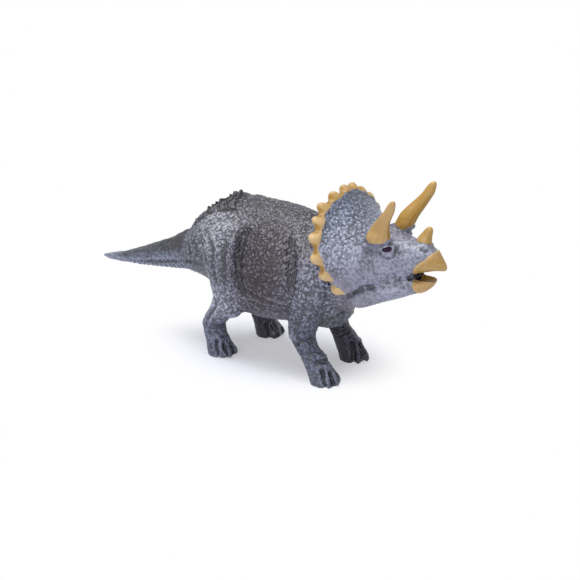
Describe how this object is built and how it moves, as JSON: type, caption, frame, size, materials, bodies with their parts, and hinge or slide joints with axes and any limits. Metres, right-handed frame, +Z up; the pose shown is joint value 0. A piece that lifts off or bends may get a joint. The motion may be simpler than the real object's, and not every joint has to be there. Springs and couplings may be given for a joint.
{
  "type": "toy dinosaur figure",
  "caption": "Moulded toy figure of a horned, frilled dinosaur standing in a walking pose with its mouth open, for pretend play or display.",
  "frame": {"origin": "middle of the figure's box, on the surface that the feet stand on", "axes": "+X forwards along the body towards the beak, +Y to the animal's left, +Z up"},
  "size_m": [0.2352, 0.0822, 0.1147],
  "materials": {
    "body_pvc": "soft vinyl with a pebbled skin, dark violet-grey wash, satin",
    "head_pvc": "soft vinyl with a pebbled skin, pale blue-grey, satin",
    "leg_pvc": "soft vinyl with a wrinkled skin, dark blue-grey, satin",
    "ochre_pvc": "smooth ochre vinyl, satin"
  },
  "bodies": {
    "root": {"torso": "body_pvc", "tail": "body_pvc", "head": "head_pvc", "lower_jaw": "head_pvc", "right_foreleg": "leg_pvc", "left_foreleg": "leg_pvc", "right_hind_leg": "leg_pvc", "left_hind_leg": "leg_pvc", "upper_beak": "ochre_pvc", "lower_beak": "ochre_pvc", "nose_horn": "ochre_pvc", "brow_horn_right": "ochre_pvc", "brow_horn_left": "ochre_pvc", "frill_rim": "ochre_pvc"}
  },
  "joints": []
}
